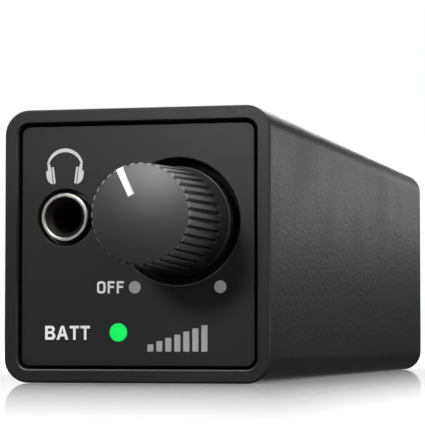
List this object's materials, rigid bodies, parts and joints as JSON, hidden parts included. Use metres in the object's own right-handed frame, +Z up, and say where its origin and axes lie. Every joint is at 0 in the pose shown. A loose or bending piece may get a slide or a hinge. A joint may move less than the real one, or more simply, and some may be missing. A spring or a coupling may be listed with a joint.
{
  "type": "headphone amplifier",
  "caption": "Slim battery-powered belt-pack headphone amplifier with a volume knob, phones socket, combined input socket, battery door and belt clip.",
  "frame": {"origin": "on the surface that the amplifier stands on, under the middle of the sleeve", "axes": "+Z up, -Y out of the front with the knob, +Y out of the rear with the input, +X to the right seen from the front"},
  "size_m": [0.0424, 0.1396, 0.034],
  "materials": {
    "housing_coat": "dark grey powder coat with a fine grain",
    "panel_plastic": "satin",
    "knob_plastic": "satin",
    "pointer_white": "satin",
    "nickel": "nickel plated, satin",
    "black_plastic": "moulded",
    "light_pipe": "clear, tinted by the lit LED",
    "led_package": "gloss",
    "steel": "bright",
    "pot_metal": "satin",
    "brass": "plated contact metal",
    "circuit_board": "solder mask",
    "chip_plastic": "moulded",
    "capacitor_can": "sleeved can",
    "resistor_ceramic": "ceramic",
    "ferrite": "sintered",
    "battery_wrap": "wrapped cell",
    "foam": "soft foam",
    "clip_steel": "black coat on spring steel",
    "dark_screw": "black oxide"
  },
  "bodies": {
    "amplifier": {"sleeve": "housing_coat", "front_panel": "panel_plastic", "rear_panel": "panel_plastic", "volume_bushing": "nickel", "volume_washer": "steel", "volume_nut": "nickel", "volume_pot_body": "pot_metal", "volume_track": "resistor_ceramic", "power_switch_body": "black_plastic", "volume_terminals": "brass", "phones_socket_bushing": "nickel", "phones_socket_body": "black_plastic", "phones_socket_contacts": "brass", "light_pipe": "light_pipe", "battery_led": "led_package", "front_board": "circuit_board", "main_board": "circuit_board", "input_board": "circuit_board", "header_blocks": "black_plastic", "header_pins": "brass", "amplifier_chips": "chip_plastic", "electrolytic_capacitors": "capacitor_can", "chip_resistors": "resistor_ceramic", "boost_inductor": "ferrite", "battery_tray": "black_plastic", "battery_left": "battery_wrap", "battery_right": "battery_wrap", "battery_contacts": "brass", "battery_springs": "steel", "input_socket_housing": "black_plastic", "input_socket_core": "black_plastic", "input_xlr_contacts": "brass", "input_trs_contacts": "brass", "mode_switch_body": "steel", "rear_panel_screws": "dark_screw", "input_socket_screws": "dark_screw", "belt_clip": "clip_steel", "belt_clip_screws": "dark_screw"},
    "volume_control": {"knob": "knob_plastic", "knob_pointer": "pointer_white", "volume_shaft": "pot_metal", "volume_wiper": "black_plastic"},
    "battery_door": {"battery_door": "housing_coat", "battery_door_foam": "foam"},
    "release_tab": {"input_release_tab": "nickel"},
    "mode_slider": {"mode_switch_slider": "black_plastic"}
  },
  "joints": [
    {"name": "volume_turn", "type": "hinge", "parent": "amplifier", "child": "volume_control", "pos_m": [0.0052, -0.0605, 0.01985], "axis": [0, 1, 0], "range_deg": [-121, 171]},
    {"name": "battery_door_swing", "type": "hinge", "parent": "amplifier", "child": "battery_door", "pos_m": [0, -0.035, 0.00075], "axis": [-1, 0, 0], "range_deg": [0, 100]},
    {"name": "release_tab_push", "type": "slide", "parent": "amplifier", "child": "release_tab", "axis": [0, -1, 0], "range_m": [0, 0.0012], "stiffness_N_per_m": 400, "springref_m": -0.0005},
    {"name": "mode_select", "type": "slide", "parent": "amplifier", "child": "mode_slider", "axis": [1, 0, 0], "range_m": [0, 0.002]}
  ]
}
